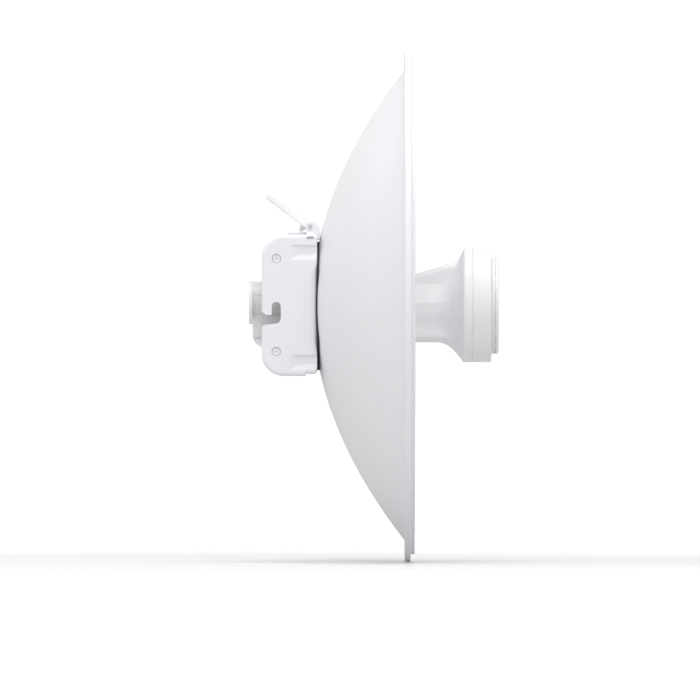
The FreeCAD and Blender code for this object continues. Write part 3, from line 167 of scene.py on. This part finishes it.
def powder_coat(name, colour):
    """Thick satin paint on pressed sheet: a fine orange peel over slow waves, and a barely uneven tone."""
    finish = Finish(name, colour, 0.42)
    finish.colour_by(finish.noise(60 * MILLIMETRE), shade(colour, 0.985), shade(colour, 1.01), 0.3, 0.7)
    finish.roughness_by(finish.noise(9 * MILLIMETRE, 4.0), 0.38, 0.47)
    finish.soften_edges(0.3 * MILLIMETRE)
    finish.relief(finish.noise(1.1 * MILLIMETRE, 1.0), 0.012 * MILLIMETRE)
    finish.relief(finish.noise(18 * MILLIMETRE, 1.0), 0.05 * MILLIMETRE)
    finish.set("Coat Weight", 0.12)
    finish.set("Coat Roughness", 0.3)
    return finish.material


def moulded_plastic(name, colour, roughness, grain, depth):
    """Moulded plastic: a spark-eroded grain, slow flow marks in tone and gloss, and soft edges.
    The grain's size and depth are in millimetres."""
    finish = Finish(name, colour, roughness)
    flow = finish.noise(35 * MILLIMETRE, 3.0, finish.stretched((1.0, 1.0, 0.45)))
    finish.colour_by(flow, shade(colour, 0.985), shade(colour, 1.01), 0.3, 0.7)
    finish.roughness_by(finish.noise(4 * MILLIMETRE, 3.0), roughness - 0.05, roughness + 0.05)
    finish.soften_edges(0.35 * MILLIMETRE)
    finish.relief(finish.noise(grain * MILLIMETRE, 3.0), depth * MILLIMETRE)
    return finish.material


def rubber(name, colour):
    """Moulded rubber, dull, with a pale bloom in patches."""
    finish = Finish(name, colour, 0.75)
    finish.colour_by(finish.noise(6 * MILLIMETRE, 4.0), colour, shade(colour, 1.6), 0.45, 0.8)
    finish.roughness_by(finish.noise(2 * MILLIMETRE, 2.0), 0.68, 0.85)
    finish.relief(finish.noise(0.4 * MILLIMETRE, 2.0), 0.02 * MILLIMETRE)
    return finish.material


def drawn_metal(name, colour, roughness, along):
    """Bare or plated metal with fine drawing lines along one way and a few duller patches."""
    finish = Finish(name, colour, roughness, 1.0)
    finish.colour_by(finish.noise(5 * MILLIMETRE, 3.0), shade(colour, 0.9), shade(colour, 1.05), 0.3, 0.7)
    lines = finish.noise(0.5 * MILLIMETRE, 2.0, finish.stretched(along))
    finish.roughness_by(lines, roughness - 0.08, roughness + 0.1)
    finish.soften_edges(0.15 * MILLIMETRE)
    finish.relief(lines, 0.008 * MILLIMETRE)
    return finish.material


def tinned_sheet(name, colour):
    """Tin-plated sheet with its faint crystal spangle."""
    finish = Finish(name, colour, 0.32, 1.0)
    finish.colour_by(finish.cells(3.5 * MILLIMETRE), shade(colour, 1.08), shade(colour, 0.88), 0.0, 0.8)
    finish.roughness_by(finish.noise(2 * MILLIMETRE, 2.0), 0.26, 0.42)
    finish.soften_edges(0.15 * MILLIMETRE)
    finish.relief(finish.noise(7 * MILLIMETRE, 1.0), 0.02 * MILLIMETRE)
    return finish.material


def circuit_board(name, colour):
    """Green solder mask with copper planes and tracks showing through it as a lighter green."""
    finish = Finish(name, colour, 0.35)
    tracks = finish.cells(4 * MILLIMETRE, "DISTANCE_TO_EDGE")
    finish.colour_by(tracks, shade(colour, 2.2), colour, 0.05, 0.09)
    finish.roughness_by(finish.noise(1 * MILLIMETRE, 2.0), 0.3, 0.42)
    finish.relief(finish.between(tracks, 1.0, 0.0, 0.05, 0.09), 0.03 * MILLIMETRE)
    finish.set("Coat Weight", 0.4)
    finish.set("Coat Roughness", 0.15)
    return finish.material


def frosted_clear(name, colour):
    """Clear plastic that spreads the lights behind it."""
    finish = Finish(name, colour, 0.35)
    finish.set("Transmission Weight", 0.75)
    finish.set("IOR", 1.49)
    finish.colour_by(finish.noise(3 * MILLIMETRE), shade(colour, 0.96), colour, 0.3, 0.7)
    finish.relief(finish.noise(0.3 * MILLIMETRE, 2.0), 0.015 * MILLIMETRE)
    return finish.material


# Factors that draw a pattern out along an axis, or leave it even.
EVEN = (1.0, 1.0, 1.0)
ALONG_X = (0.06, 1.0, 1.0)
ALONG_Y = (1.0, 0.06, 1.0)

SLOTS = {
    "painted_sheet": powder_coat("painted_sheet", (0.86, 0.865, 0.89)),
    "bracket_plastic": moulded_plastic("bracket_plastic", (0.87, 0.875, 0.90), 0.48, 0.35, 0.02),
    # The latch plastic is paler than the bracket plastic. Part of that is a whiter moulding, and part is a
    # painted highlight for the strong light that falls on the lever above the bracket.
    "latch_plastic": moulded_plastic("latch_plastic", (0.94, 0.942, 0.95), 0.40, 0.30, 0.01),
    "feed_plastic": moulded_plastic("feed_plastic", (0.88, 0.885, 0.895), 0.38, 0.25, 0.008),
    "grey_plastic": moulded_plastic("grey_plastic", (0.50, 0.51, 0.53), 0.50, 0.35, 0.02),
    # Nearly black rubber. On the gasket between the bracket and the dish, this dark tone is also painted
    # shade for the narrow shadowed gap there.
    "black_rubber": rubber("black_rubber", (0.02, 0.02, 0.024)),
    "seal_rubber": rubber("seal_rubber", (0.70, 0.70, 0.71)),
    "steel": drawn_metal("steel", (0.66, 0.66, 0.68), 0.34, ALONG_Y),
    "tinned_steel": tinned_sheet("tinned_steel", (0.72, 0.72, 0.73)),
    "aluminium": drawn_metal("aluminium", (0.80, 0.81, 0.82), 0.38, ALONG_X),
    "brass": drawn_metal("brass", (0.80, 0.62, 0.30), 0.30, EVEN),
    "circuit_board": circuit_board("circuit_board", (0.02, 0.12, 0.06)),
    "clear_plastic": frosted_clear("clear_plastic", (0.85, 0.90, 0.93)),
}


def dress_nodes():
    """Gives every CAD node the finish of its material slot."""
    for part in frame["record"]["subparts"]:
        materials = NODES[part["node"]].data.materials
        materials.clear()
        materials.append(SLOTS[part["material_slot"]])


# ---------------------------------------------------------------- the feed unit's moulded shell

# Everything in this section is in millimetres until a mesh takes it.
NECK_BACK = 50.3
HEAD_SEAM = 172.6

# Right side of the hollow that holds the radio and the port's lead: (y, z).
BAY_SIDE = [(9.0, -24.5), (9.0, -11.0), (12.5, -11.0), (12.5, 11.0)]
BAY_FRONT = 147.0

# Turned shapes: (place along X, radius).
HEAD_HOLLOW = [(146.0, 14.0), (152.0, 21.0), (166.5, 40.5), (168.6, 43.9), (HEAD_SEAM + 5, 43.9)]
SCREW_POST = [(160.5, 3.2), (184.5, 3.2), (184.5, 1.55), (176.0, 1.55)]
POST_CIRCLE = 31.5
POST_ANGLES = (45, 135, 225, 315)

# Edges that turn by more degrees than this stay sharp.
SHARP_ANGLE = 32

# Outlines of the neck and the flare from the side: (place along X, value).
SPINE_TOP = [(110.0, 21.1), (125.5, 25.8), (153.3, 34.3), (160.0, 35.7), (166.0, 38.0)]
FLARE_REACH = [
    (130.0, 4.0), (142.6, 18.0), (154.2, 30.4), (159.0, 36.6), (162.4, 41.3),
    (164.8, 45.5), (165.5, 46.2), (166.3, 46.5), (172.1, 46.5), (HEAD_SEAM, 46.1),
]
FLARE_CENTRE = [(130.0, -4.0), (154.2, -3.0), (159.9, -2.1), (162.4, -1.4), (165.6, -0.2), (166.3, 0.0)]

# How widely the neck melts into the flare, below and above.
BLEND_BELOW = 8.0
BLEND_ABOVE = 2.5

# Where the rings of the skin stand along X, closer together where the shape turns.
NECK_PLACES = (
    [NECK_BACK, 51.0, 64.0, 78.0, 92.0, 104.0, 108.0, 109.5, 110.5, 112.0, 116.0, 120.0, 124.0, 128.0]
    + [130.0 + 1.2 * step for step in range(29)]
    + [164.4, 164.8, 165.2, 165.5, 165.9, 166.3, 168.0, 170.0, 172.1, HEAD_SEAM]
)


def value_at(table, x):
    """The value of a table at x, straight between its lines and level beyond its ends."""
    if x <= table[0][0]:
        return table[0][1]
    for (x0, v0), (x1, v1) in zip(table, table[1:]):
        if x <= x1:
            return v0 + (v1 - v0) * (x - x0) / (x1 - x0)
    return table[-1][1]


def neck_corners(x):
    """Half of the neck's section, from its floor to its spine, as (y, z, softening)."""
    top = value_at(SPINE_TOP, x)
    spine_foot = 17.6
    spine_edge = 3.6
    return [
        (0.0, -30.2, 0.0),
        (14.0, -30.2, 3.0),
        (22.0, -26.2, 3.0),
        (21.6, -17.2, 1.6),
        (25.0, -7.4, 2.2),
        (25.0, 2.4, 1.2),
        (24.3, 3.6, 1.2),
        (17.3, 17.2, 0.8),
        (17.0, max(top - spine_edge, spine_foot), 0.8),
        (13.4, top, 1.2),
        (0.0, top, 0.0),
    ]


def softened(corners, spacing=8):
    """The line through the corners, with a small curve at each and equal steps between them."""
    line = []
    for index, (y, z, soft) in enumerate(corners):
        here = Vector((y, z))
        if 0 < index < len(corners) - 1:
            before = Vector(corners[index - 1][:2]) - here
            after = Vector(corners[index + 1][:2]) - here
            reach = min(soft, 0.45 * before.length, 0.45 * after.length)
            first, last = here + before.normalized() * reach, here + after.normalized() * reach
            curve = [first.lerp(here, t).lerp(here.lerp(last, t), t) for t in (0.0, 0.25, 0.5, 0.75, 1.0)]
        else:
            curve = [here]
        if line:
            start = line[-1]
            line += [start.lerp(curve[0], step / spacing) for step in range(1, spacing)]
        line += curve
    return line


def pushed_out(spot, x):
    """A point of the neck's section, drawn smoothly out to the flare where the flare is wider."""
    centre = value_at(FLARE_CENTRE, x)
    flare = value_at(FLARE_REACH, x)
    away = Vector((spot.x, spot.y - centre))
    reach = away.length
    upward = max(0.0, away.y / reach)
    softness = BLEND_BELOW - (BLEND_BELOW - BLEND_ABOVE) * upward ** 2
    share = min(1.0, max(0.0, 0.5 + 0.5 * (reach - flare) / softness))
    reach = flare + (reach - flare) * share + softness * share * (1.0 - share)
    away = away.normalized() * reach
    return (x * MILLIMETRE, away.x * MILLIMETRE, (centre + away.y) * MILLIMETRE)


def ring_at(x):
    """The whole section of the neck and flare at x."""
    half = softened(neck_corners(x))
    other = [Vector((-spot.x, spot.y)) for spot in reversed(half[1:-1])]
    return [pushed_out(spot, x) for spot in half + other]


def closed_skin(rings):
    """A bmesh through rings of equally many points, closed at both ends."""
    mesh = bmesh.new()
    rows = [[mesh.verts.new(spot) for spot in ring] for ring in rings]
    for near, far in zip(rows, rows[1:]):
        for index in range(len(near)):
            before = index - 1
            mesh.faces.new((near[before], near[index], far[index], far[before]))
    mesh.faces.new(rows[0])
    mesh.faces.new(reversed(rows[-1]))
    bmesh.ops.recalc_face_normals(mesh, faces=mesh.faces)
    return mesh


def turned(profile, middle=(0.0, 0.0), sides=64):
    """A closed skin turned about a line along X: the profile is (place along X, radius), in millimetres."""
    rings = []
    for x, radius in profile:
        turns = [2 * math.pi * step / sides for step in range(sides)]
        rings.append([
            Vector((x, middle[0] + radius * math.cos(t), middle[1] + radius * math.sin(t))) * MILLIMETRE
            for t in turns
        ])
    return closed_skin(rings)


def beam(low, high, section):
    """A closed skin along X from low to high with this section of (y, z), in millimetres."""
    rings = [[(x * MILLIMETRE, y * MILLIMETRE, z * MILLIMETRE) for y, z in section] for x in (low, high)]
    return closed_skin(rings)


def object_of(mesh, name):
    """A new object that holds a finished bmesh."""
    data = bpy.data.meshes.new(name)
    mesh.to_mesh(data)
    mesh.free()
    item = bpy.data.objects.new(name, data)
    bpy.context.scene.collection.objects.link(item)
    return item


def carve(item, mesh):
    """Cuts a closed skin out of an object's mesh."""
    tool = object_of(mesh, "tool")
    cutter = item.modifiers.new("carve", "BOOLEAN")
    cutter.operation = "DIFFERENCE"
    cutter.solver = "EXACT"
    cutter.object = tool
    carved = bpy.data.meshes.new_from_object(item.evaluated_get(bpy.context.evaluated_depsgraph_get()))
    item.modifiers.clear()
    item.data = carved
    bpy.data.objects.remove(tool)


def rear_of(node, limit):
    """A copy of a CAD node's mesh up to a place along X."""
    mesh = bmesh.new()
    mesh.from_mesh(NODES[node].data)
    geometry = mesh.verts[:] + mesh.edges[:] + mesh.faces[:]
    bmesh.ops.bisect_plane(
        mesh, geom=geometry, plane_co=(limit * MILLIMETRE, 0, 0), plane_no=(1, 0, 0), clear_outer=True,
    )
    return mesh


def feed_moulding():
    """The shell of the feed unit, whose panelled neck runs smoothly out into the flare of its head."""
    item = object_of(closed_skin([ring_at(x) for x in NECK_PLACES]), "feed_moulding")
    other_side = [(-y, z) for y, z in reversed(BAY_SIDE)]
    carve(item, beam(NECK_BACK - 5, BAY_FRONT, BAY_SIDE + other_side))
    carve(item, turned(HEAD_HOLLOW))
    mesh = bmesh.new()
    mesh.from_mesh(item.data)
    parts = [rear_of("feed_shell", NECK_BACK)]
    for angle in POST_ANGLES:
        turn = math.radians(angle)
        middle = (POST_CIRCLE * math.cos(turn), POST_CIRCLE * math.sin(turn))
        parts.append(turned(SCREW_POST, middle, 24))
    for part in parts:
        data = bpy.data.meshes.new("part")
        part.to_mesh(data)
        part.free()
        mesh.from_mesh(data)
        bpy.data.meshes.remove(data)
    mesh.to_mesh(item.data)
    mesh.free()
    item.data.shade_smooth()
    item.data.set_sharp_from_angle(angle=math.radians(SHARP_ANGLE))
    item.data.materials.clear()
    item.data.materials.append(SLOTS["feed_plastic"])
    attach(item, "feed")
    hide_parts("feed_shell")


# ---------------------------------------------------------------- stage, lights and camera

FIELD = 0.574
DISTANCE = 12.5
SENSOR = 36.0
AIM = Vector((0.0722, 0.0, -0.0365))
FLOOR_GAP = 0.0004
FLOOR_SIZE = 60.0
FLOOR_TONE = 0.88
FLOOR_GLOW = 0.6
GLOW_START = 0.4
GLOW_END = 1.6
FLOOR_GLOSS = 0.2
FLOOR_ROUGHNESS = 0.1
BOUNCE_TONE = 0.60
SKY = 0.82
BACKDROP = 1.05
LIT_SPOT = Vector((0.09, 0.0, 0.0))


def node_of(tree, kind, values=()):
    """A new node of a tree, with the values of some of its sockets."""
    node = tree.nodes.new(kind)
    for socket, value in dict(values).items():
        node.inputs[socket].default_value = value
    return node


def mixed(tree, share, first, second):
    """Two shaders mixed by a share, which is a number or another node's output."""
    mix = tree.nodes.new("ShaderNodeMixShader")
    if isinstance(share, float):
        mix.inputs["Fac"].default_value = share
    else:
        tree.links.new(share, mix.inputs["Fac"])
    tree.links.new(first, mix.inputs[1])
    tree.links.new(second, mix.inputs[2])
    return mix.outputs["Shader"]


def grey(tone):
    return (tone, tone, tone, 1.0)


def floor_glow(tree):
    """A glow that starts some way from the object and grows until the floor is as white as the air."""
    place = node_of(tree, "ShaderNodeTexCoord")
    distance = node_of(tree, "ShaderNodeVectorMath")
    distance.operation = "LENGTH"
    strength = node_of(tree, "ShaderNodeMapRange", {
        "From Min": GLOW_START, "From Max": GLOW_END, "To Min": 0.0, "To Max": FLOOR_GLOW,
    })
    glow = node_of(tree, "ShaderNodeEmission")
    tree.links.new(place.outputs["Object"], distance.inputs[0])
    tree.links.new(distance.outputs["Value"], strength.inputs["Value"])
    tree.links.new(strength.outputs["Result"], glow.inputs["Strength"])
    return glow.outputs["Emission"]


def stage_floor():
    """A white floor just below the dish's rim, lit evenly enough to run into the background."""
    bpy.ops.mesh.primitive_plane_add(size=FLOOR_SIZE, location=(0, 0, cad_box[0][2] - FLOOR_GAP))
    floor = bpy.context.object
    floor.name = "stage_floor"
    material = bpy.data.materials.new("pale_floor")
    material.use_nodes = True
    tree = material.node_tree
    tree.nodes.clear()
    out = node_of(tree, "ShaderNodeOutputMaterial")
    path = node_of(tree, "ShaderNodeLightPath")
    lit = node_of(tree, "ShaderNodeBsdfDiffuse", {"Color": grey(FLOOR_TONE)})
    bright = node_of(tree, "ShaderNodeAddShader")
    tree.links.new(lit.outputs["BSDF"], bright.inputs[0])
    tree.links.new(floor_glow(tree), bright.inputs[1])
    bounce = node_of(tree, "ShaderNodeBsdfDiffuse", {"Color": grey(BOUNCE_TONE)})
    gloss = node_of(tree, "ShaderNodeBsdfGlossy", {"Roughness": FLOOR_ROUGHNESS})
    matt = mixed(tree, path.outputs["Is Camera Ray"], bounce.outputs["BSDF"], bright.outputs["Shader"])
    polished = mixed(tree, FLOOR_GLOSS, matt, gloss.outputs["BSDF"])
    tree.links.new(polished, out.inputs["Surface"])
    floor.data.materials.append(material)


def studio_world():
    """White to the camera, and a softer white to the object."""
    world = bpy.data.worlds.new("studio")
    world.use_nodes = True
    bpy.context.scene.world = world
    tree = world.node_tree
    tree.nodes.clear()
    out = node_of(tree, "ShaderNodeOutputWorld")
    path = node_of(tree, "ShaderNodeLightPath")
    seen = node_of(tree, "ShaderNodeBackground", {"Color": grey(1.0), "Strength": BACKDROP})
    light = node_of(tree, "ShaderNodeBackground", {"Color": grey(1.0), "Strength": SKY})
    air = mixed(tree, path.outputs["Is Camera Ray"], light.outputs["Background"], seen.outputs["Background"])
    tree.links.new(air, out.inputs["Surface"])


def soft_box(name, place, size, power):
    """A square light, size metres across, that faces the object."""
    data = bpy.data.lights.new(name, "AREA")
    data.shape = "SQUARE"
    data.size = size
    data.energy = power
    lamp = bpy.data.objects.new(name, data)
    lamp.location = place
    lamp.rotation_euler = (LIT_SPOT - Vector(place)).to_track_quat("-Z", "Y").to_euler()
    bpy.context.scene.collection.objects.link(lamp)


def aim_camera():
    """A long lens that looks straight along +Y, level with the dish."""
    data = bpy.data.cameras.new("camera")
    data.sensor_width = SENSOR
    data.lens = SENSOR * DISTANCE / FIELD
    data.clip_start = 0.1
    data.clip_end = 200.0
    camera = bpy.data.objects.new("camera", data)
    camera.location = AIM - Vector((0, DISTANCE, 0))
    camera.rotation_euler = (math.radians(90), 0, 0)
    bpy.context.scene.collection.objects.link(camera)
    bpy.context.scene.camera = camera


aim_camera()
dress_nodes()
feed_moulding()
stage_floor()
studio_world()
soft_box("overhead", (0.15, -0.4, 2.2), 1.3, 18.0)
soft_box("front", (0.4, -2.9, 1.7), 1.8, 14.0)
soft_box("left", (-2.6, -1.2, 1.6), 1.6, 8.0)
bpy.context.scene.view_settings.view_transform = "Standard"
